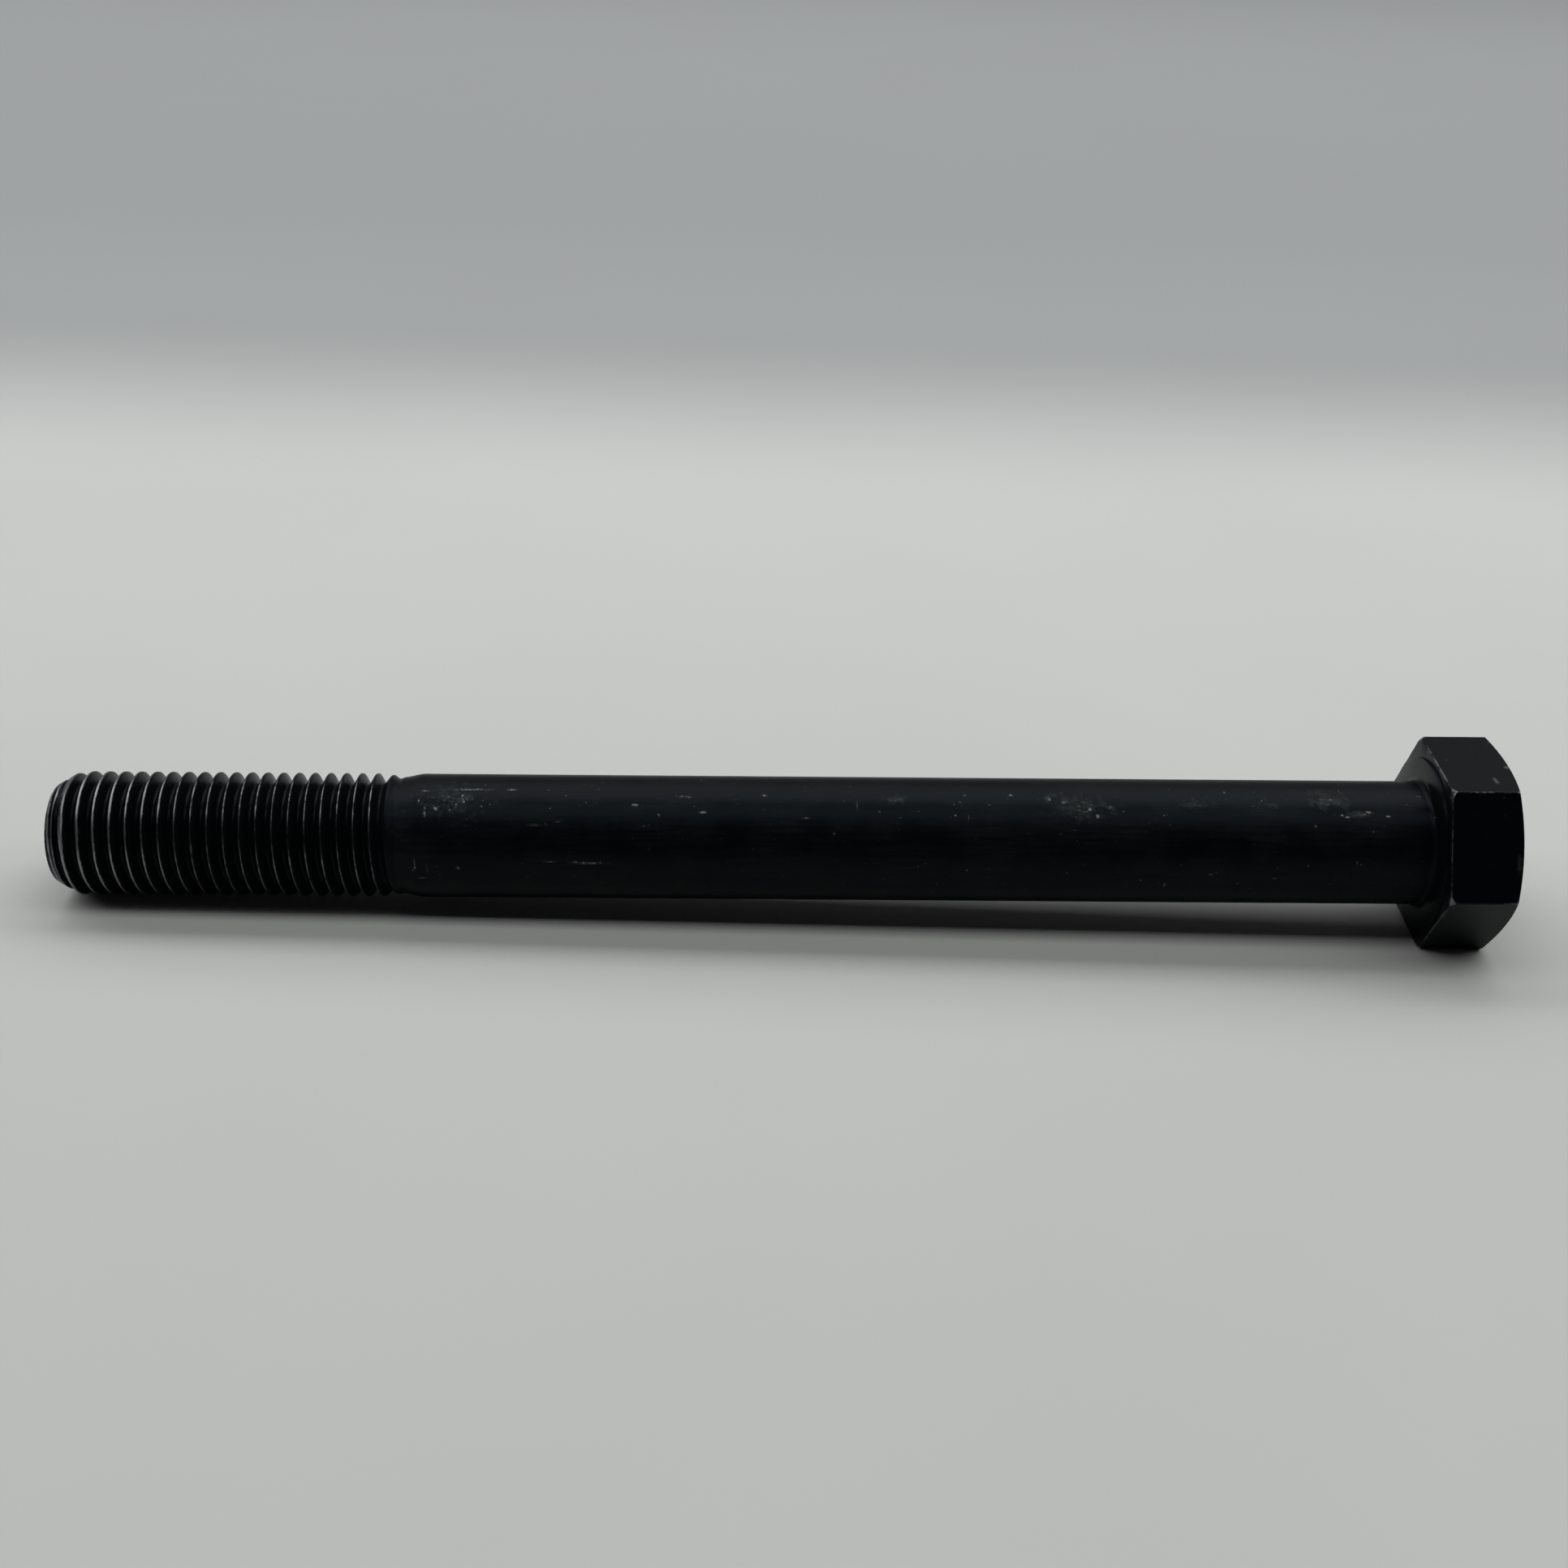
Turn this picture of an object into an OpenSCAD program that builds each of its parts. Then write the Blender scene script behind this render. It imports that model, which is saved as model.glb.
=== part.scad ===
// Hex cap screw with a partly threaded shank, 7/8 inch with 9 threads to the inch.
// It lies as it comes to rest on a level surface: one flat of the head and the point
// touch the surface, and the shank climbs a little towards the head.
// The origin is the centre of the bearing face, +X runs towards the head and +Z is up.

/* [Head] */
// Width of the hexagon across its flats
across_flats = 33.1; // [32.6:0.05:33.3]
// Height of the head above the bearing face
head_height = 13.2; // [12.8:0.1:14.3]
// Slope of the ball-shaped crown, halfway across its chamfer
crown_angle = 18; // [15:1:30]
// Diameter of the flat top, as a share of the width across flats
crown_share = 0.95; // [0.88:0.01:1]
// Thickness of the washer face under the hexagon
washer_t = 0.55; // [0.4:0.05:0.9]
// Diameter of the washer face, as a share of the width across flats
washer_share = 0.93; // [0.9:0.01:0.98]
// How far the six corners are broken on the underside
corner_break = 0.7; // [0.2:0.1:1.2]

/* [Shank] */
// Diameter of the plain shank, and of the thread over its crests
shank_d = 22.05; // [21.9:0.05:22.25]
// Length from the bearing face to the end of the point
length = 242.6; // [160:0.1:300]
// Radius of the fillet between the shank and the bearing face
fillet_r = 1.1; // [0.6:0.1:1.6]
// Length of the cone from the plain shank down to the rolled blank
taper_length = 2.8; // [1.5:0.1:4.5]

/* [Thread] */
// Distance from one crest to the next
pitch = 2.822; // [2.5:0.002:3.1]
// Length of full thread from the end of the point
thread_length = 57.15; // [35:0.05:90]
// Length over which the thread dies out towards the shank
runout = 4.5; // [2.8:0.1:9]
// Depth of the thread, as a share of its pitch
depth_share = 0.6225; // [0.55:0.0025:0.65]
// Width of the crest, as a share of the pitch
crest_share = 0.125; // [0.08:0.005:0.2]
// Radius of the blank before the thread is rolled, as a share of the shank's radius
blank_share = 0.945; // [0.9:0.005:0.97]
// Angle about the axis at which a crest meets the end of the point
thread_turn = 160; // [0:5:355]

/* [Point] */
// Diameter of the flat end of the point
end_d = 17.9; // [16:0.1:18.6]
// Angle between the point's chamfer and the axis
point_angle = 30; // [20:1:45]

/* [Hidden] */
$fn = 96;

STEEL = "#1c1f21";
FLANK_ANGLE = 30;      // each thread flank leans this far from square to the axis
CREST_ROUND = 0.08;    // drop from the crest's middle to its edges
ROOT_ROUND = 0.14;     // rise from the root's middle to its edges
STEPS = 30;            // facets in one turn of the thread
TUCK = 0.06;           // how far the blank is set inside the foot of the cone
SPARE = 1.2;           // pitches of thread past the end plane, cut off by it

shank_r = shank_d / 2;
corner_r = across_flats / sqrt(3);
washer_r = washer_share * across_flats / 2;
crown_r = crown_share * across_flats / 2;
blank_r = blank_share * shank_r;
root_r = shank_r - depth_share * pitch;
end_z = -length;
cone_z = end_z + thread_length + runout;
plain_z = cone_z + taper_length;

// The screw tips until the first whole crest at the point touches the surface.
touch_z = end_z + (shank_r - end_d / 2) / tan(point_angle);
rest_tilt = asin((across_flats / 2 - shank_r) / (washer_t - touch_z));

// One pitch of the thread's profile: [share of the pitch, radius], from crest to crest.
flank = (depth_share - (CREST_ROUND + ROOT_ROUND) / pitch) * tan(FLANK_ANGLE);
crest_half = crest_share / 2;
PROFILE = [
    [0, shank_r],
    [crest_half, shank_r - CREST_ROUND],
    [crest_half + flank, root_r + ROOT_ROUND],
    [0.5, root_r],
    [1 - crest_half - flank, root_r + ROOT_ROUND],
    [1 - crest_half, shank_r - CREST_ROUND]
];
ROWS = len(PROFILE);

// Radius of the rolled blank's thread at height z, where the full profile would have radius r:
// it fades into the blank along the run-out, and the point's chamfer cuts it down.
function faded(z) = min(1, max(0, (cone_z - z) / runout));
function thread_r(z, r) = min(
    blank_r - TUCK + faded(z) * (r - blank_r + TUCK),
    end_d / 2 + (z - end_z) * tan(point_angle)
);

// Point of the thread's surface: i counts along the profile and j along the helix.
function thread_z(i, j) = end_z + pitch * (PROFILE[i][0] + j / STEPS - SPARE);
function thread_point(i, j) =
    let (
        z = thread_z(i, j),
        r = thread_r(z, PROFILE[i][1]),
        a = 360 * (j / STEPS - SPARE) + thread_turn
    )
    [r * cos(a), r * sin(a), z];

// The rolled end as one closed solid, a right-hand helix from past the point up into the cone.
module rolled_end() {
    turns = SPARE + (thread_length + runout) / pitch;
    last = ceil(turns * STEPS);
    points = concat(
        [for (j = [0 : last], i = [0 : ROWS - 1]) thread_point(i, j)],
        [for (j = [last + 1 : last + STEPS]) thread_point(0, j)],
        [[0, 0, thread_z(0, 0)], [0, 0, thread_z(0, last + STEPS)]]
    );
    low = len(points) - 2;
    high = len(points) - 1;
    // Past the last row, and at the end of each profile, the next turn's first row takes over.
    function at(i, j) =
        i == ROWS ? at(0, j + STEPS) :
        j <= last ? j * ROWS + i : (last + 1) * ROWS + j - last - 1;
    walls = [
        for (j = [0 : last - 1], i = [0 : ROWS - 1])
            each [
                [at(i, j), at(i + 1, j), at(i + 1, j + 1)],
                [at(i, j), at(i + 1, j + 1), at(i, j + 1)]
            ]
    ];
    floor = concat(
        [for (j = [0 : STEPS - 1]) [low, at(0, j), at(0, j + 1)]],
        [for (i = [0 : ROWS - 1]) [low, at(i + 1, 0), at(i, 0)]]
    );
    roof = concat(
        [for (j = [0 : STEPS - 1]) [high, at(0, last + j + 1), at(0, last + j)]],
        [for (i = [0 : ROWS - 1]) [high, at(i, last), at(i + 1, last)]]
    );
    intersection() {
        polyhedron(points, concat(walls, floor, roof));
        translate([0, 0, end_z]) cylinder(r = shank_d, h = length);
    }
}

// A large ball crowns the hexagon, and a smaller one, at 45 degrees, breaks its lower corners.
module head() {
    crown_ball = (crown_r + corner_r) / 2 / sin(crown_angle);
    break_ball = corner_r * sqrt(2);
    intersection() {
        translate([0, 0, washer_t])
            rotate(30) cylinder(r = corner_r, h = head_height - washer_t, $fn = 6);
        translate([0, 0, head_height - sqrt(pow(crown_ball, 2) - pow(crown_r, 2))])
            sphere(r = crown_ball, $fn = 240);
        translate([0, 0, washer_t + sqrt(pow(break_ball, 2) - pow(corner_r - corner_break, 2))])
            sphere(r = break_ball, $fn = 240);
    }
    cylinder(r = washer_r, h = 2 * washer_t);
}

// Plain shank with its cone, and the fillet that carries it into the bearing face.
module shank() {
    translate([0, 0, plain_z]) cylinder(r = shank_r, h = washer_t - plain_z);
    translate([0, 0, cone_z]) cylinder(r1 = blank_r, r2 = shank_r, h = taper_length);
    rotate_extrude() difference() {
        translate([shank_r - fillet_r, -fillet_r]) square([2 * fillet_r, 1.5 * fillet_r]);
        translate([shank_r + fillet_r, -fillet_r]) circle(r = fillet_r);
    }
}

module hex_cap_screw() {
    color(STEEL) rotate([0, 90 - rest_tilt, 0]) {
        head();
        shank();
        rolled_end();
    }
}

hex_cap_screw();
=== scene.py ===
from math import asin, atan2, ceil, cos, degrees, pi, radians, sin, sqrt, tan, tau
import bpy
import bmesh
from mathutils import Matrix, Vector, noise


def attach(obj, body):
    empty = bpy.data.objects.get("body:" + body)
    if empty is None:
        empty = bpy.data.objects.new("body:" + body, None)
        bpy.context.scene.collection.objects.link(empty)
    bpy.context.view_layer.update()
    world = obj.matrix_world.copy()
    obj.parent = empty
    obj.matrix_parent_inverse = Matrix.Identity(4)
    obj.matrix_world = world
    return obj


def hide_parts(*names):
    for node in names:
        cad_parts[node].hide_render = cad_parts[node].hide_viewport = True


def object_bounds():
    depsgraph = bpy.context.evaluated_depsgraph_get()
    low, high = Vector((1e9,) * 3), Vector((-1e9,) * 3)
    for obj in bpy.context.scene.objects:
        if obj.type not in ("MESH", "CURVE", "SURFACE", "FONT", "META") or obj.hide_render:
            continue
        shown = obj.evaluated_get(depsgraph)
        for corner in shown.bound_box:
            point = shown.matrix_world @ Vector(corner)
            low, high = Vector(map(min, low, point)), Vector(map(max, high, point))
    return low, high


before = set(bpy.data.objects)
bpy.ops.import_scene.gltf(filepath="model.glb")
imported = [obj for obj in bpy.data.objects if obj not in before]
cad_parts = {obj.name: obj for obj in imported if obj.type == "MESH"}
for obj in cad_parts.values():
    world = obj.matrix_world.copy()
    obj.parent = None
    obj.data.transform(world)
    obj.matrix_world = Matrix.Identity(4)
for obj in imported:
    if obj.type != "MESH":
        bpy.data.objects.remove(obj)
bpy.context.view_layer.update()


# ---- Rolled thread ----
# The end of the steel bar is turned down to a blank and rolled between flat dies, which push
# the crests up as high as the plain shank. The thread is right hand. It dies out into the blank
# over the last turn and a half, and the chamfer of the point cuts it down at the other end.
SHANK_RADIUS = 11.025      # in millimetres, as every length is until the mesh is scaled
PITCH = 25.4 / 9
END = -242.6               # heights run up the axis, from 0 at the face that bears on the work
THREAD_LENGTH = 57.15
RUNOUT = 4.5
TAPER = 2.8
BLANK_RADIUS = 0.945 * SHANK_RADIUS
ROOT_RADIUS = SHANK_RADIUS - 0.6225 * PITCH
CREST_WIDTH = 0.125 * PITCH
END_RADIUS = 8.95
POINT_ANGLE = 30
THREAD_TURN = 160          # degrees round the axis to where the thread starts
CREST_ROUND, ROOT_ROUND, NECK_ROUND, POINT_ROUND = 0.14, 0.2, 0.15, 0.12
CONE_START = END + THREAD_LENGTH + RUNOUT
THREAD_TOP = CONE_START + TAPER + 1.0
COLUMNS = 144
ROWS_PER_TURN = 22
SQUEEZE = 0.85             # how much closer the columns stand at the corners of the hexagon
LEAD = 2 + THREAD_TURN / 360   # turns of the sheet that are folded into the end face
FOLD = 0.35                # share of a turn over which those rows shrink to the axis
CLOSE = 0.004              # corners nearer than this are one


def add(tree, kind, inputs=(), out=0, **settings):
    """Adds a node with its settings, sets or links its inputs, and gives one of its outputs.

    A kind in capitals is the operation of a Math node.
    """
    if kind.isupper():
        kind, settings["operation"] = "ShaderNodeMath", kind
    node = tree.nodes.new(kind)
    for name, value in settings.items():
        setattr(node, name, value)
    for key, value in (inputs.items() if isinstance(inputs, dict) else enumerate(inputs)):
        if isinstance(value, bpy.types.NodeSocket):
            tree.links.new(value, node.inputs[key])
        else:
            node.inputs[key].default_value = value
    return node.outputs[out] if node.outputs else None


def rolled_thread_tree(material):
    """A sheet whose rows follow the helix, wrapped round the axis and closed at the point."""
    tree = bpy.data.node_groups.new("rolled thread", "GeometryNodeTree")
    sizes = {
        "Shank Radius": SHANK_RADIUS, "Root Radius": ROOT_RADIUS, "Blank Radius": BLANK_RADIUS,
        "Pitch": PITCH, "Crest Width": CREST_WIDTH, "Crest Round": CREST_ROUND,
        "Root Round": ROOT_ROUND, "Run-out": RUNOUT, "Taper": TAPER, "Neck Round": NECK_ROUND,
        "End": END, "End Radius": END_RADIUS, "Point Slope": tan(radians(POINT_ANGLE)),
        "Point Round": POINT_ROUND, "Cone Start": CONE_START, "Top": THREAD_TOP,
        "Lead": LEAD, "Fold": FOLD, "Squeeze": SQUEEZE,
    }
    counts = {
        "Columns": COLUMNS, "Rows per Turn": ROWS_PER_TURN,
        "Rows": ceil((LEAD + (THREAD_TOP - END) / PITCH) * ROWS_PER_TURN) + 2,
    }
    for name in sizes:
        tree.interface.new_socket(name, in_out="INPUT", socket_type="NodeSocketFloat")
    for name in counts:
        tree.interface.new_socket(name, in_out="INPUT", socket_type="NodeSocketInt")
    tree.interface.new_socket("Mesh", in_out="OUTPUT", socket_type="NodeSocketGeometry")
    given = tree.nodes.new("NodeGroupInput").outputs

    # A flat sheet. Each of its corners takes its row and its column from its place.
    last_row = add(tree, "SUBTRACT", (given["Rows"], 1.0))
    sheet = add(tree, "GeometryNodeMeshGrid", {
        "Size X": last_row, "Size Y": given["Columns"], "Vertices X": given["Rows"],
        "Vertices Y": add(tree, "ADD", (given["Columns"], 1.0))})
    along = add(tree, "ShaderNodeSeparateXYZ", (add(tree, "GeometryNodeInputPosition"),))
    across = along.node.outputs["Y"]
    row = add(tree, "ROUND", (add(tree, "MULTIPLY_ADD", (last_row, 0.5, along)),))
    column = add(tree, "ROUND", (add(tree, "MULTIPLY_ADD", (given["Columns"], 0.5, across)),))

    # Angle round the axis, with the columns drawn towards the hexagon's corners.
    even = add(tree, "MULTIPLY", (add(tree, "DIVIDE", (column, given["Columns"])), tau))
    drawn = add(tree, "SINE", (add(tree, "MULTIPLY", (even, 6.0)),))
    drawn = add(tree, "MULTIPLY", (drawn, given["Squeeze"]))
    angle = add(tree, "MULTIPLY_ADD", (drawn, 1 / 6, even))

    # Height along the axis. The rows nearest to the end and to the top are moved onto them.
    row_share = add(tree, "DIVIDE", (row, given["Rows per Turn"]))
    turns = add(tree, "MULTIPLY_ADD", (angle, 1 / tau, row_share))
    turns = add(tree, "SUBTRACT", (turns, given["Lead"]))
    free = add(tree, "MULTIPLY_ADD", (turns, given["Pitch"], given["End"]))
    half_row = add(tree, "MULTIPLY", (given["Pitch"], 0.501))
    half_row = add(tree, "DIVIDE", (half_row, given["Rows per Turn"]))
    height = free
    for level in ("End", "Top"):
        near = add(tree, "COMPARE", (free, given[level], half_row))
        step = add(tree, "SUBTRACT", (given[level], free))
        height = add(tree, "MULTIPLY_ADD", (near, step, height))
    height = add(tree, "MINIMUM", (height, given["Top"]))
    height = add(tree, "MAXIMUM", (height, given["End"]))

    # Thread profile: flanks 30 degrees from square, with a rounded crest and root.
    half_pitch = add(tree, "MULTIPLY", (given["Pitch"], 0.5))
    from_crest = add(tree, "MULTIPLY", (row_share, given["Pitch"]))
    from_crest = add(tree, "PINGPONG", (from_crest, half_pitch))
    down_flank = add(tree, "MULTIPLY_ADD", (given["Crest Width"], -0.5, from_crest))
    flank = add(tree, "MULTIPLY_ADD", (down_flank, -sqrt(3), given["Shank Radius"]))
    crested = add(tree, "SMOOTH_MIN", (flank, given["Shank Radius"], given["Crest Round"]))
    profile = add(tree, "SMOOTH_MAX", (crested, given["Root Radius"], given["Root Round"]))

    # Run-out into the blank, the cone up to the shank, and the chamfer of the point.
    to_cone = add(tree, "SUBTRACT", (given["Cone Start"], height))
    full = add(tree, "DIVIDE", (to_cone, given["Run-out"]), use_clamp=True)
    over_blank = add(tree, "SUBTRACT", (profile, given["Blank Radius"]))
    rolled = add(tree, "MULTIPLY_ADD", (full, over_blank, given["Blank Radius"]))
    rise = add(tree, "SUBTRACT", (given["Shank Radius"], given["Blank Radius"]))
    slope = add(tree, "MULTIPLY", (add(tree, "DIVIDE", (rise, given["Taper"])), -1.0))
    cone = add(tree, "MULTIPLY_ADD", (to_cone, slope, given["Blank Radius"]))
    neck = add(tree, "SMOOTH_MIN", (cone, given["Shank Radius"], given["Neck Round"]))
    neck = add(tree, "SMOOTH_MAX", (neck, given["Blank Radius"], given["Neck Round"]))
    over_blank = add(tree, "SUBTRACT", (neck, given["Blank Radius"]))
    bar = add(tree, "ADD", (rolled, over_blank))
    chamfer = add(tree, "SUBTRACT", (height, given["End"]))
    chamfer = add(tree, "MULTIPLY_ADD", (chamfer, given["Point Slope"], given["End Radius"]))
    pointed = add(tree, "SMOOTH_MIN", (bar, chamfer, given["Point Round"]))

    # The rows before the end shrink to the middle of the flat end face.
    before = add(tree, "SUBTRACT", (given["End"], free))
    before = add(tree, "SUBTRACT", (before, half_row))
    fold = add(tree, "MULTIPLY", (given["Pitch"], given["Fold"]))
    inward = add(tree, "DIVIDE", (before, fold), use_clamp=True)
    radius = add(tree, "MULTIPLY", (pointed, add(tree, "SUBTRACT", (1.0, inward))))

    where = add(tree, "ShaderNodeCombineXYZ", (
        add(tree, "MULTIPLY", (radius, add(tree, "COSINE", (angle,)))),
        add(tree, "MULTIPLY", (radius, add(tree, "SINE", (angle,)))), height))
    wrapped = add(tree, "GeometryNodeSetPosition", {"Geometry": sheet, "Position": where})
    closed = add(tree, "GeometryNodeMergeByDistance", {"Geometry": wrapped, "Distance": CLOSE})
    real = add(tree, "GeometryNodeRealizeInstances", (closed,))
    steel = add(tree, "GeometryNodeSetMaterial", {"Geometry": real, "Material": material})
    add(tree, "NodeGroupOutput", (steel,))
    return tree, {**sizes, **counts}


finish = bpy.data.materials.new("black_oxide_on_rolled_steel")
tree, values = rolled_thread_tree(finish)
carrier = bpy.data.objects.new("thread_carrier", bpy.data.meshes.new("thread_carrier"))
bpy.context.scene.collection.objects.link(carrier)
roller = carrier.modifiers.new("rolled thread", "NODES")
roller.node_group = tree
for item in tree.interface.items_tree:
    if item.in_out == "INPUT":
        roller[item.identifier] = values[item.name]
thread_mesh = bpy.data.meshes.new_from_object(
    carrier.evaluated_get(bpy.context.evaluated_depsgraph_get()))
bpy.data.objects.remove(carrier)


# ---- Shank and head ----
# The head is forged from the same steel bar. It is a hexagon with a washer face under it. Its
# top is crowned by a large ball-shaped cut, its lower corners are broken, and handling has worn
# every edge round.
ACROSS_FLATS = 33.1
HEAD_HEIGHT = 13.2
WASHER_T = 0.55
WASHER_RADIUS = 0.93 * ACROSS_FLATS / 2
CROWN_RADIUS = 0.95 * ACROSS_FLATS / 2
CROWN_ANGLE = 18
CORNER_BREAK = 0.7
FILLET = 1.1
EDGE_ROUND = 0.4           # radius of the six upright edges
LIP = 0.2                  # width of the broken edge under each flat
CROWN_LIP = 0.12           # width of the broken edge where the crown cuts a flat
WASHER_ROUND = 0.12
CREST_WEAR = 0.36          # how far to each side of a crest its oxide is rubbed
CORNER_RADIUS = ACROSS_FLATS / sqrt(3)
CROWN_BALL = (CROWN_RADIUS + CORNER_RADIUS) / 2 / sin(radians(CROWN_ANGLE))
CROWN_CENTRE = HEAD_HEIGHT - sqrt(CROWN_BALL ** 2 - CROWN_RADIUS ** 2)
BREAK_BALL = CORNER_RADIUS * sqrt(2)
BREAK_CENTRE = WASHER_T + sqrt(BREAK_BALL ** 2 - (CORNER_RADIUS - CORNER_BREAK) ** 2)
SHANK_RINGS = 28
REST_TILT = asin((ACROSS_FLATS / 2 - SHANK_RADIUS)
                 / (WASHER_T - END - (SHANK_RADIUS - END_RADIUS) / tan(radians(POINT_ANGLE))))

angles = []
for step in range(COLUMNS):
    even = tau * step / COLUMNS
    angles.append(even + SQUEEZE / 6 * sin(6 * even))


def corner_turn(angle):
    """Angle from the nearest corner of the hexagon, in radians."""
    return abs((angle + pi / 3) % (pi / 3) - pi / 6)


def hexagon_radius(angle, wear):
    """Distance from the axis to the hexagon, whose corners are rounded to a radius of wear."""
    turn = corner_turn(angle)
    middle = (ACROSS_FLATS / 2 - wear) / cos(pi / 6)
    if turn < atan2(wear / 2, middle + wear * cos(pi / 6)):
        return middle * cos(turn) + sqrt(wear ** 2 - (middle * sin(turn)) ** 2)
    return ACROSS_FLATS / 2 / cos(pi / 6 - turn)


def waver(angle, height, size, seed):
    """Smooth unevenness of a forged edge, from -1 to 1."""
    spot = Vector((cos(angle) * 19, sin(angle) * 19, height)) / size
    return noise.noise(spot + Vector((seed, 0, 0)))


def eased(points, cut, steps):
    """The points of a profile with each inner corner cut back and rounded."""
    made = [points[0]]
    for before, corner, after in zip(points, points[1:], points[2:]):
        a, b, c = (Vector(p) for p in (before, corner, after))
        back = min(cut, 0.4 * (a - b).length)
        on = min(cut, 0.4 * (c - b).length)
        start = b + (a - b).normalized() * back
        stop = b + (c - b).normalized() * on
        for k in range(steps + 1):
            t = k / steps
            made.append((1 - t) ** 2 * start + 2 * t * (1 - t) * b + t * t * stop)
    return made + [points[-1]]


def crown_height(radius):
    """Height of the crown at that distance from the axis."""
    return CROWN_CENTRE + sqrt(CROWN_BALL ** 2 - radius ** 2)


def head_profile(angle):
    """(radius, height, wear) from the fillet out over the washer face, up a flat and inwards."""
    wear = EDGE_ROUND * (1 + 0.35 * waver(angle, 3, 5, 7))
    outer = hexagon_radius(angle, wear)
    wave = 0.13 * waver(angle, 0, 3, 21) + 0.05 * waver(angle, 0, 0.9, 4)
    low = max(WASHER_T + LIP, BREAK_CENTRE - sqrt(BREAK_BALL ** 2 - outer ** 2)) + 0.5 * wave
    high = crown_height(outer) - (0.05 + 0.05 * waver(angle, 13, 1.5, 11))
    under = min(outer - LIP, CORNER_RADIUS - CORNER_BREAK) + wave
    from_corner = degrees(corner_turn(angle))
    upright = min(0.68, max(0, (1.2 - from_corner) / 0.7))
    corner = min(1, max(0, (3.0 - from_corner) / 1.8))
    base = [(SHANK_RADIUS + FILLET, 0), (WASHER_RADIUS, 0), (WASHER_RADIUS, WASHER_T),
            (under, WASHER_T)]
    made = [(*point, 0.3 if 0 < k < 4 else 0)
            for k, point in enumerate(eased(base, WASHER_ROUND, 2))]
    made[-1] = (*made[-1][:2], 0.7 + 0.2 * corner)

    # Up the flat: the lower lip, the flat itself and the edge at the crown.
    made.append((outer - 0.3 * (outer - under), low - 0.3 * (low - WASHER_T),
                 0.92 + 0.08 * corner))
    made.append((outer, low + 0.04, 0.76 + 0.24 * corner))
    for up, bare in ((0.16, 0.95), (0.4, 0.75), (0.8, 0.5)):
        made.append((outer, low + up, max(upright, bare * corner)))
    for k in range(6):
        thin = 0.88 + 0.12 * abs(k / 2.5 - 1)
        made.append((outer, low + 1.6 + (high - low - 2.6) * k / 5, thin * upright))
    for down, bare in ((0.5, 0.6), (0.16, 0.9)):
        made.append((outer, high - down, max(upright, bare * corner)))
    made.append((outer, high - 0.05, 0.5 + 0.45 * corner))
    made.append((outer - 0.03, high - 0.01, 0.6 + 0.35 * corner))

    # Over the crown and in across the flat top.
    rim = outer - CROWN_LIP
    made.append((rim, crown_height(rim), 0.4))
    for share in (0.08, 0.2, 0.45, 0.75):
        r = rim + (CROWN_RADIUS + 0.2 - rim) * share
        made.append((r, crown_height(r), 0))
    made.append((CROWN_RADIUS + 0.1, HEAD_HEIGHT - 0.035, 0.4))
    made.append((CROWN_RADIUS - 0.2, HEAD_HEIGHT - 0.004, 0.4))
    for share in (0.9, 0.7, 0.45, 0.2):
        made.append((CROWN_RADIUS * share, HEAD_HEIGHT, 0))
    return made


# Rings from the thread up the shank, round the fillet and over the head.
rings = [[(SHANK_RADIUS, THREAD_TOP + (-FILLET - THREAD_TOP) * k / SHANK_RINGS, 0)] * COLUMNS
         for k in range(SHANK_RINGS + 1)]
for k in range(1, 8):
    turn = radians(90 * k / 8)
    rings.append([(SHANK_RADIUS + FILLET * (1 - cos(turn)), -FILLET + FILLET * sin(turn), 0)]
                 * COLUMNS)
rings += list(zip(*(head_profile(angle) for angle in angles)))

# The edge_wear attribute says how far the oxide is rubbed away, from 0 to 1.
body = bmesh.new()
body.from_mesh(thread_mesh)
bpy.data.meshes.remove(thread_mesh)
edge_wear = body.verts.layers.float.new("edge_wear")
for vert in body.verts:
    turns = (vert.co.z - END) / PITCH + LEAD - atan2(vert.co.y, vert.co.x) / tau
    wear = 1 - abs(turns - round(turns)) * PITCH / CREST_WEAR
    if vert.co.z < END + 4:    # on the point, whatever stands out from its neighbours is rubbed
        middle = sum((edge.other_vert(vert).co for edge in vert.link_edges), Vector())
        middle /= len(vert.link_edges)
        wear = max(0.8 * wear, 25 * (vert.co.xy.length - middle.xy.length - 0.012))
    if vert.co.xy.length < 8.5 or vert.co.z > CONE_START:
        wear = 0
    vert[edge_wear] = min(1, max(0, wear)) * min(1, abs(CONE_START - vert.co.z) / RUNOUT)
below = None
for ring in rings:
    row = []
    for angle, (radius, height, wear) in zip(angles, ring):
        vert = body.verts.new((radius * cos(angle), radius * sin(angle), height))
        vert[edge_wear] = wear
        row.append(vert)
    if below:
        for k in range(COLUMNS):
            m = (k + 1) % COLUMNS
            body.faces.new((below[k], below[m], row[m], row[k]))
    below = row
crown_middle = body.verts.new((0, 0, HEAD_HEIGHT))
for k in range(COLUMNS):
    body.faces.new((below[k], below[(k + 1) % COLUMNS], crown_middle))
bmesh.ops.remove_doubles(body, verts=body.verts, dist=CLOSE)

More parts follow.
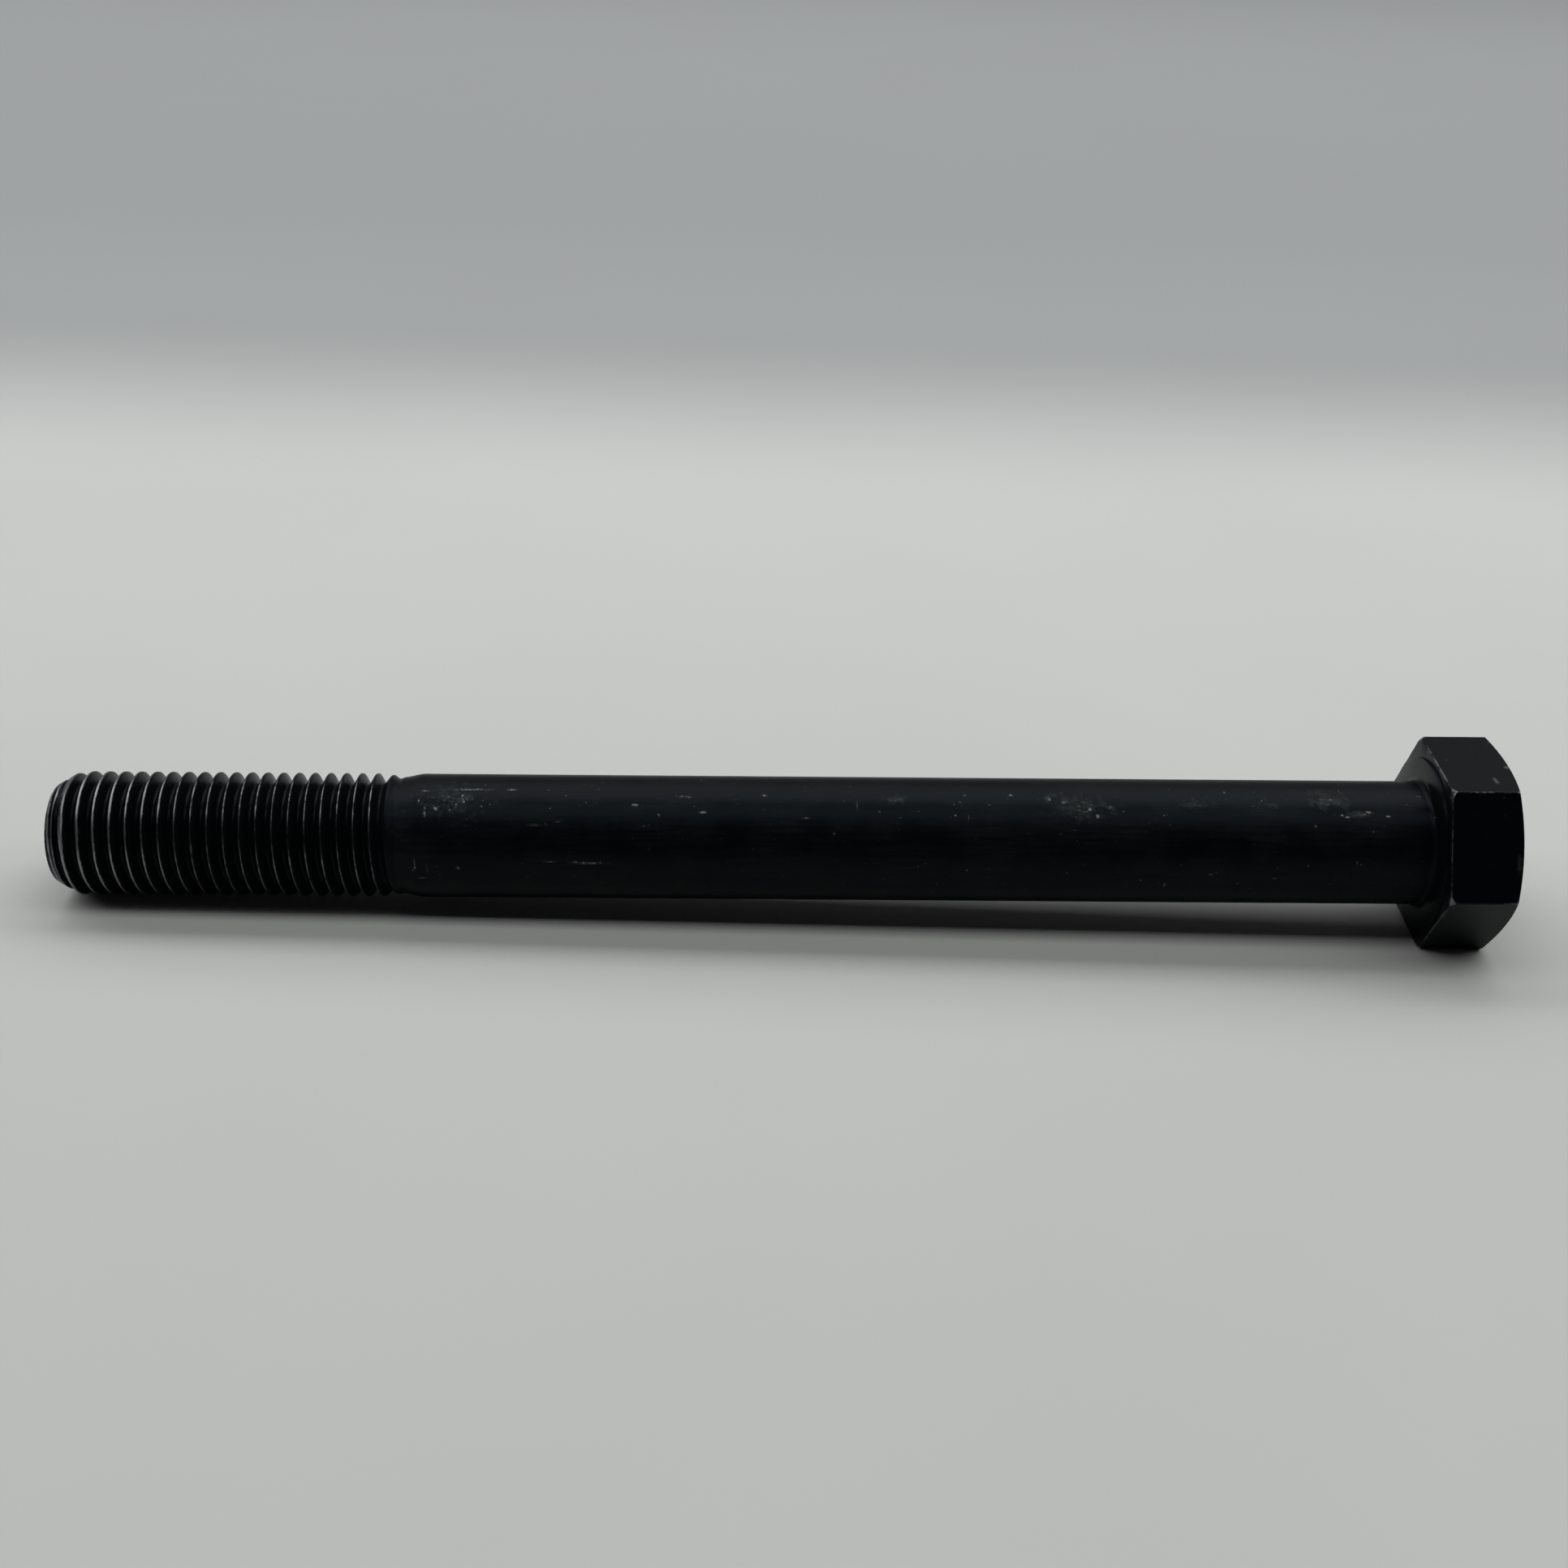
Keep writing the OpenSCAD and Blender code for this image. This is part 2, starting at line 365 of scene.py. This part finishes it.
# Knocks that pressed the steel in: place along the axis, angle round it, size and depth.
KNOCKS = [
    (-236.0, 236, 1.5, 0.22), (-235.6, 246, 1.1, 0.18), (-239.2, 228, 0.7, 0.16),
    (-233.8, 248, 0.9, 0.12), (-216.9, 252, 0.9, 0.12), (-205.5, 233, 0.8, 0.10),
    (-196.8, 215, 0.9, 0.10), (-188.4, 243, 0.9, 0.10), (-190.9, 262, 0.8, 0.10),
    (-213.6, 70, 1.2, 0.15), (-224.8, 20, 1.0, 0.12), (-202.7, 330, 1.0, 0.12),
    (-230.6, 120, 1.1, 0.14), (-193.6, 95, 1.0, 0.12),
]
knocks = [(Vector((SHANK_RADIUS * cos(radians(turn)), SHANK_RADIUS * sin(radians(turn)), at)),
           2 * size, depth) for at, turn, size, depth in KNOCKS]
for vert in body.verts:
    reach = vert.co.xy.length
    if reach < 9 or vert.co.z > -180:
        continue
    for spot, size, depth in knocks:
        share = (vert.co - spot).length / size
        if share < 1:
            vert.co.xy *= 1 - depth * (1 - share ** 2) ** 2 / reach

body.transform(Matrix.Rotation(pi / 2 - REST_TILT, 4, "Y") @ Matrix.Scale(0.001, 4))
bmesh.ops.recalc_face_normals(body, faces=body.faces)
for face in body.faces:
    face.smooth = True
for edge in body.edges:
    if len(edge.link_faces) == 2 and edge.calc_face_angle() > radians(40):
        edge.smooth = False
mesh = bpy.data.meshes.new("cap_screw")
body.to_mesh(mesh)
body.free()
mesh.materials.clear()
mesh.materials.append(finish)
for polygon in mesh.polygons:
    polygon.material_index = 0
screw = bpy.data.objects.new("cap_screw", mesh)
bpy.context.scene.collection.objects.link(screw)
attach(screw, "root")
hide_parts("hex_cap_screw")


# ---- Black oxide finish ----
# Black oxide is a thin layer of magnetite grown on the steel and sealed with oil: nearly black,
# half glossy, and rubbed through to bright steel on the crests, on the edges and in scratches.
def linear(code):
    """A colour written as sRGB hex, as linear red, green, blue and alpha."""
    parts = [int(code[k:k + 2], 16) / 255 for k in (1, 3, 5)]
    return (*[c / 12.92 if c <= 0.04045 else ((c + 0.055) / 1.055) ** 2.4 for c in parts], 1)


OXIDE = linear("#06080b")
OXIDE_THIN = linear("#242826")
BARE = linear("#8c8e8d")
TINT = linear("#c2d8ea")   # the cold colour of the oxide's gloss
GLOSS = 0.075              # its strength, where 0.5 is usual
# Sizes of patterns in millimetres. The grit and the lines that drawing leaves are finer on a
# real bar, and are drawn as coarse as they need to show.
GRIT = 0.35
DRAWN_LINES = 0.4
GRAIN = 0.32               # breaks the scuffs up into flecks
finish.use_nodes = True
steel = finish.node_tree
steel.nodes.clear()
VECTOR_MATH = "ShaderNodeVectorMath"


def fleck(vector, size, low, high, detail=3.0):
    """Noise of about that size in millimetres, from 0 below low to 1 above high."""
    noise_of_size = add(steel, "ShaderNodeTexNoise", {
        "Vector": vector, "Scale": 1 / size, "Detail": detail, "Roughness": 0.6})
    return add(steel, "ShaderNodeMapRange", {0: noise_of_size, 1: low, 2: high}, clamp=True)


# The screw's own frame, in millimetres: z along the axis, x down and y back as it lies.
local = add(steel, "ShaderNodeMapping", {
    "Vector": add(steel, "ShaderNodeTexCoord", out="Object"),
    "Rotation": (0, pi / 2 - REST_TILT, 0), "Scale": (0.001, 0.001, 0.001)},
    vector_type="TEXTURE")
along = add(steel, "ShaderNodeSeparateXYZ", (local,), out="Z")
outward = add(steel, VECTOR_MATH, (local, (1, 1, 0)), operation="MULTIPLY")
reach = add(steel, VECTOR_MATH, (outward,), out="Value", operation="LENGTH")
# A pattern on this is drawn out along the axis, as the steel was when the bar was made.
drawn_out = add(steel, VECTOR_MATH, (local, (1, 1, 0.06)), operation="MULTIPLY")

# Crests and edges rubbed bright, in patches, and most of all near the point.
near_point = add(steel, "ShaderNodeMapRange", {0: along, 1: END + 26, 2: END + 5}, clamp=True)
small_patches = add(steel, "MULTIPLY", (fleck(local, 0.9, 0.3, 0.7), 0.3))
patches = add(steel, "MULTIPLY_ADD", (fleck(local, 3.5, 0.3, 0.7), 0.35, small_patches))
patches = add(steel, "SUBTRACT", (patches, 1.0))
rubbed = add(steel, "ShaderNodeAttribute", out="Fac", attribute_name="edge_wear")
rubbed = add(steel, "MULTIPLY_ADD", (near_point, 0.42, rubbed))
rubbed = add(steel, "ADD", (rubbed, patches))
rubbed = add(steel, "ShaderNodeMapRange", {0: rubbed, 1: 0.0, 2: 0.3}, clamp=True)
rubbed = add(steel, "MULTIPLY", (rubbed, add(steel, "MULTIPLY_ADD", (near_point, 0.5, 0.45))))
off_end_face = add(steel, "ShaderNodeMapRange", {
    0: reach, 1: END_RADIUS - 0.3, 2: END_RADIUS - 0.1}, clamp=True)
rubbed = add(steel, "MULTIPLY", (rubbed, off_end_face))

# Scuffs and scratches: middle along the axis, angle round it, half length, half width, depth.
# A depth under a half only dulls the oxide and leaves a few bright flecks in it.
SCUFFS = [
    (-171.5, 203, 8.0, 5.0, 0.40), (-168.7, 190, 6.5, 0.5, 0.85), (-169.7, 203, 2.4, 1.7, 0.66),
    (-174.2, 212, 0.6, 0.6, 1.3), (-176.1, 214, 0.4, 2.2, 0.75), (-161.3, 190, 1.6, 0.3, 1.0),
    (-157.2, 227, 1.8, 0.3, 0.75), (-152.9, 224, 0.9, 0.3, 0.75), (-139.5, 207, 0.9, 0.5, 1.3),
    (-131.0, 197, 2.2, 0.5, 0.65), (-127.7, 214, 1.0, 0.4, 1.3), (-177.8, 265, 0.25, 1.9, 0.95),
    (-175.7, 269, 0.2, 1.5, 0.8), (-176.6, 280, 1.4, 0.2, 1.1), (-170.3, 268, 0.5, 0.4, 1.0),
    (-154.0, 261, 1.9, 0.2, 0.95), (-147.5, 262, 4.4, 0.3, 1.0), (-117.0, 195, 0.7, 0.3, 1.2),
    (-109.8, 219, 1.2, 0.3, 0.85), (-104.8, 233, 0.4, 0.4, 1.3), (-100.8, 205, 0.2, 1.7, 0.85),
    (-94.0, 199, 3.5, 1.5, 0.45), (-83.7, 215, 0.35, 0.35, 1.2), (-81.4, 217, 0.2, 0.8, 0.9),
    (-73.8, 192, 0.6, 0.4, 1.0), (-67.3, 196, 0.9, 1.6, 0.75), (-64.6, 200, 1.1, 0.7, 0.85),
    (-61.5, 206, 7.0, 4.0, 0.42), (-60.2, 208, 0.5, 0.5, 1.4), (-58.9, 215, 0.5, 0.7, 1.4),
    (-56.6, 206, 1.1, 0.6, 0.9), (-41.8, 201, 4.5, 1.8, 0.35), (-36.1, 186, 0.35, 0.5, 1.4),
    (-29.0, 200, 3.5, 1.8, 0.35), (-18.2, 196, 5.5, 3.0, 0.48), (-13.0, 211, 3.6, 0.9, 0.68),
    (-46.8, 281, 0.3, 1.0, 1.1), (-39.0, 269, 0.9, 0.3, 0.8), (-13.1, 258, 0.25, 0.6, 0.9),
    (9.1, 199, 0.6, 1.6, 1.2), (12.1, 249, 0.5, 2.0, 0.75), (12.6, 184, 0.9, 0.9, 1.2),
    (-95.0, 60, 3.5, 0.3, 0.9), (-30.0, 20, 0.7, 0.9, 1.1), (-150.0, 110, 2.6, 1.4, 0.6),
    (-120.0, 330, 6.0, 0.3, 0.95), (-60.0, 100, 1.2, 0.8, 0.9), (5.0, 78, 0.6, 1.2, 1.0),
    (-236.2, 236, 0.8, 0.9, 1.2), (-239.2, 228, 0.4, 0.5, 1.2), (-233.8, 248, 0.5, 0.8, 1.1),
    (-216.9, 252, 0.4, 0.7, 1.1), (-203.0, 231, 0.4, 0.6, 1.1),
    (-176.5, 192, 1.3, 0.35, 0.95), (-177.3, 204, 0.25, 0.8, 0.9),
    (-176.0, 218, 0.25, 1.2, 1.0), (-169.8, 198, 0.35, 0.4, 1.3),
    (-169.4, 205, 0.5, 0.35, 1.25), (-170.7, 208, 0.3, 0.35, 1.2),
    (-171.7, 213, 0.35, 0.4, 1.15), (-167.4, 190, 0.6, 0.3, 1.2), (-16.3, 212, 0.35, 0.3, 1.4),
    (-15.4, 214, 0.9, 0.25, 1.1), (-11.5, 209, 0.9, 0.4, 1.1), (-8.2, 213, 0.7, 0.3, 1.2),
    (-17.7, 195, 1.0, 0.4, 0.95), (-15.8, 182, 0.2, 0.7, 0.9), (-21.1, 223, 0.3, 0.4, 1.0),
    (-13.8, 256, 0.2, 0.7, 1.0), (-27.7, 273, 0.4, 0.3, 1.0), (-96.9, 212, 0.4, 0.3, 1.0),
    (-83.7, 215, 0.4, 0.3, 1.0), (-149.8, 261, 0.8, 0.35, 1.2), (-148.4, 262, 0.7, 0.4, 1.25),
    (-146.7, 262, 0.9, 0.3, 1.2),
]
grain = add(steel, "ShaderNodeTexNoise", {
    "Vector": add(steel, VECTOR_MATH, (local, (1, 1, 0.6)), operation="MULTIPLY"),
    "Scale": 1 / GRAIN, "Detail": 3.0, "Roughness": 0.7})
dull = None
for at, turn, half_length, half_width, depth in SCUFFS:
    radius = hexagon_radius(radians(turn), 0) if at > 0 else SHANK_RADIUS
    middle = Vector((radius * cos(radians(turn)), radius * sin(radians(turn)), at))
    share = Vector((1 / half_width, 1 / half_width, 1 / half_length))
    off = add(steel, VECTOR_MATH, (local, share, -share * middle), operation="MULTIPLY_ADD")
    away = add(steel, VECTOR_MATH, (off,), out="Value", operation="LENGTH")
    deep = add(steel, "MULTIPLY_ADD", (away, -depth, depth))
    dull = deep if dull is None else add(steel, "MAXIMUM", (dull, deep))
scuff = add(steel, "ADD", (dull, add(steel, "MULTIPLY_ADD", (grain, 2.6, -1.85))))
scuff = add(steel, "ShaderNodeMapRange", {0: scuff, 1: 0.0, 2: 0.5, 4: 0.45}, clamp=True)

# Fine bright specks in blotches, and streaks along the plain shank from drawing.
blotch = fleck(local, 9, 0.35, 0.7)
specks = add(steel, "MULTIPLY", (fleck(local, 0.7, 0.74, 0.84, 1.0),
                                 add(steel, "MULTIPLY", (blotch, 0.6))))
on_bar = add(steel, "ShaderNodeMapRange", {0: along, 1: -2, 2: -4}, clamp=True)
on_shank = add(steel, "MULTIPLY", (on_bar, add(steel, "ShaderNodeMapRange", {
    0: along, 1: CONE_START - 4, 2: CONE_START}, clamp=True)))
streak = add(steel, "MULTIPLY", (fleck(drawn_out, 0.7, 0.3, 0.75), on_shank))

# The oxide is thinner and paler in a haze round the marks and along the streaks.
haze = add(steel, "MULTIPLY_ADD", (fleck(local, 1.3, 0.2, 0.8), 0.9,
                                   add(steel, "SUBTRACT", (dull, 0.55))))
haze = add(steel, "ShaderNodeMapRange", {0: haze, 1: 0.0, 2: 0.35}, clamp=True)
thin_streak = add(steel, "MULTIPLY", (add(steel, "MULTIPLY", (blotch, streak)), 0.4))
haze = add(steel, "MAXIMUM", (add(steel, "MULTIPLY", (haze, 0.8)), thin_streak))
oxide = add(steel, "ShaderNodeMix", {0: haze, 6: OXIDE, 7: OXIDE_THIN}, out=2, data_type="RGBA")

# Bare steel shows where it is rubbed, scuffed or speckled, and is a little rougher.
worn = add(steel, "MAXIMUM", (add(steel, "MAXIMUM", (rubbed, scuff)), specks))
colour = add(steel, "ShaderNodeMix", {0: worn, 6: oxide, 7: BARE}, out=2, data_type="RGBA")
metal = add(steel, "ShaderNodeMapRange", {0: worn, 1: 0.0, 2: 0.15}, clamp=True)
rough = add(steel, "MULTIPLY_ADD", (streak, 0.10, 0.27))
for share, more in ((blotch, 0.08), (worn, 0.12), (on_shank, 0.04)):
    rough = add(steel, "MULTIPLY_ADD", (share, more, rough))
grit = add(steel, "ShaderNodeTexNoise", {"Vector": local, "Scale": 1 / GRIT, "Detail": 3.0})
lines = add(steel, "ShaderNodeTexNoise", {
    "Vector": drawn_out, "Scale": 1 / DRAWN_LINES, "Detail": 2.0})
relief = add(steel, "MULTIPLY_ADD", (grit, 0.5, scuff))
relief = add(steel, "MULTIPLY_ADD", (lines, on_bar, relief))
bump = add(steel, "ShaderNodeBump", {"Strength": 0.25, "Distance": 0.00004, "Height": relief})
shader = add(steel, "ShaderNodeBsdfPrincipled", {
    "Base Color": colour, "Metallic": metal, "Roughness": rough, "Normal": bump,
    "Specular IOR Level": GLOSS, "Specular Tint": TINT})
add(steel, "ShaderNodeOutputMaterial", {"Surface": shader})


# ---- Floor ----
# A pale sheet of matt card that the screw lies on. It lies flat; from a third of a metre behind
# the screw it is painted darker and bluer, painted shade as where such a sheet curves up out of
# the light.
FLOOR_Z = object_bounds()[0][2]
FLOOR_HALF = 6             # metres, as every length of the stage is
FLOOR_NEAR = linear("#c5c8c5")
FLOOR_FAR = linear("#c8cac8")
# Painted shade: these sweep colours darken the card behind the screw as a backdrop curving up
# out of the light would be darker.
PAINTED_SHADE_SWEEP_FOOT = linear("#9c9f9f")
PAINTED_SHADE_SWEEP = linear("#979a9a")
PAINTED_SHADE_SWEEP_TOP = linear("#9fa2a2")
MOTTLE = linear("#8f8f8b")
MOTTLE_SIZE = 0.111
TONES_FROM, TONES_TO = -0.4, 1.1   # how far in front of the screw's axis and behind it
TONES_AND_PAINTED_SHADE = [(-0.03, FLOOR_NEAR), (0.06, FLOOR_FAR), (0.19, FLOOR_FAR), (0.33, PAINTED_SHADE_SWEEP_FOOT),
         (0.5, PAINTED_SHADE_SWEEP), (1.03, PAINTED_SHADE_SWEEP_TOP)]
card = bpy.data.materials.new("matt_card")
card.use_nodes = True
paper = card.node_tree
paper.nodes.clear()
place = add(paper, "ShaderNodeTexCoord", out="Object")
back = add(paper, "ShaderNodeSeparateXYZ", (place,), out="Y")
back = add(paper, "ShaderNodeMapRange", {0: back, 1: TONES_FROM, 2: TONES_TO})
# This ramp paints that shade into the card's colour along its depth, before the random mottle is
# mixed in.
tone_and_painted_shade = add(paper, "ShaderNodeValToRGB", (back,))
ramp = tone_and_painted_shade.node.color_ramp
ramp.interpolation = "EASE"
for metres, shade in TONES_AND_PAINTED_SHADE:
    ramp.elements.new((metres - TONES_FROM) / (TONES_TO - TONES_FROM)).color = shade
ramp.elements.remove(ramp.elements[0])
ramp.elements.remove(ramp.elements[-1])
mottle = add(paper, "ShaderNodeTexNoise", {
    "Vector": place, "Scale": 1 / MOTTLE_SIZE, "Detail": 4.0})
mottle = add(paper, "ShaderNodeMapRange", {0: mottle, 1: 0.3, 2: 0.7, 3: 0.0, 4: 0.06})
tone_and_painted_shade = add(paper, "ShaderNodeMix", {0: mottle, 6: tone_and_painted_shade, 7: MOTTLE}, out=2, data_type="RGBA")
matt = add(paper, "ShaderNodeBsdfPrincipled", {
    "Base Color": tone_and_painted_shade, "Roughness": 0.9, "Specular IOR Level": 0.2})
add(paper, "ShaderNodeOutputMaterial", {"Surface": matt})
sheet = bpy.data.meshes.new("floor")
sheet.from_pydata([(x * FLOOR_HALF, y * FLOOR_HALF, FLOOR_Z)
                   for x, y in ((-1, -1), (1, -1), (1, 1), (-1, 1))], [], [(0, 1, 2, 3)])
sheet.materials.append(card)
floor = bpy.data.objects.new("floor", sheet)
bpy.context.scene.collection.objects.link(floor)


# ---- Light ----
# Three long soft lamps hang a metre above the floor, one behind the other, so that the shadow
# fades in steps. A dim fourth one stands upright far behind, and the room adds a faint light.
LAMPS = [
    # name, size, place, point that it faces, radiance
    ("overhead_lamp", (4.0, 0.33), (-0.1, -0.195, 1.0), (-0.1, -0.195, 0), 2.24),
    ("rear_lamp", (4.0, 0.38), (-0.1, 0.45, 1.0), (-0.1, 0.45, 0), 3.1),
    ("far_lamp", (4.0, 0.7), (-0.1, 1.0, 1.0), (-0.1, 1.0, 0), 1.47),
    ("back_lamp", (2.8, 1.2), (-0.1, 1.85, 0.85), (-0.1, 0, 0.85), 0.22),
]
ROOM_COLOUR = (0.95, 0.97, 1.0, 1)
ROOM_LEVEL = 0.015
for name, size, place, aim, radiance in LAMPS:
    lamp = bpy.data.lights.new(name, "AREA")
    lamp.shape = "RECTANGLE"
    lamp.size, lamp.size_y = size
    lamp.energy = radiance * pi * size[0] * size[1]
    holder = bpy.data.objects.new(name, lamp)
    turn = (Vector(aim) - Vector(place)).to_track_quat("-Z", "Y")
    holder.matrix_world = Matrix.Translation(place) @ turn.to_matrix().to_4x4()
    holder.visible_camera = False
    bpy.context.scene.collection.objects.link(holder)
room = bpy.data.worlds.new("dim_room")
bpy.context.scene.world = room
room.use_nodes = True
room.node_tree.nodes["Background"].inputs["Color"].default_value = ROOM_COLOUR
room.node_tree.nodes["Background"].inputs["Strength"].default_value = ROOM_LEVEL


# ---- Camera ----
# A short telephoto view from in front and 31 degrees above, almost square to the shank, that
# takes in the whole screw.
PICTURE = 1932             # pixels across the square picture
FOCAL = 2303.7             # focal length in those pixels
CAMERA_PLACE = (-0.118579, -0.281604, 0.179912)
CAMERA_DOWN, CAMERA_ASIDE, CAMERA_ROLL = 31.298, 0.972, 2.073
lens = bpy.data.cameras.new("camera")
lens.sensor_width = 36
lens.lens = FOCAL / PICTURE * lens.sensor_width
lens.clip_start = 0.01
camera = bpy.data.objects.new("camera", lens)
camera.matrix_world = (Matrix.Translation(CAMERA_PLACE)
                       @ Matrix.Rotation(-radians(CAMERA_ASIDE), 4, "Z")
                       @ Matrix.Rotation(radians(90 - CAMERA_DOWN), 4, "X")
                       @ Matrix.Rotation(radians(CAMERA_ROLL), 4, "Z"))
bpy.context.scene.collection.objects.link(camera)
bpy.context.scene.camera = camera
bpy.context.scene.view_settings.view_transform = "Standard"
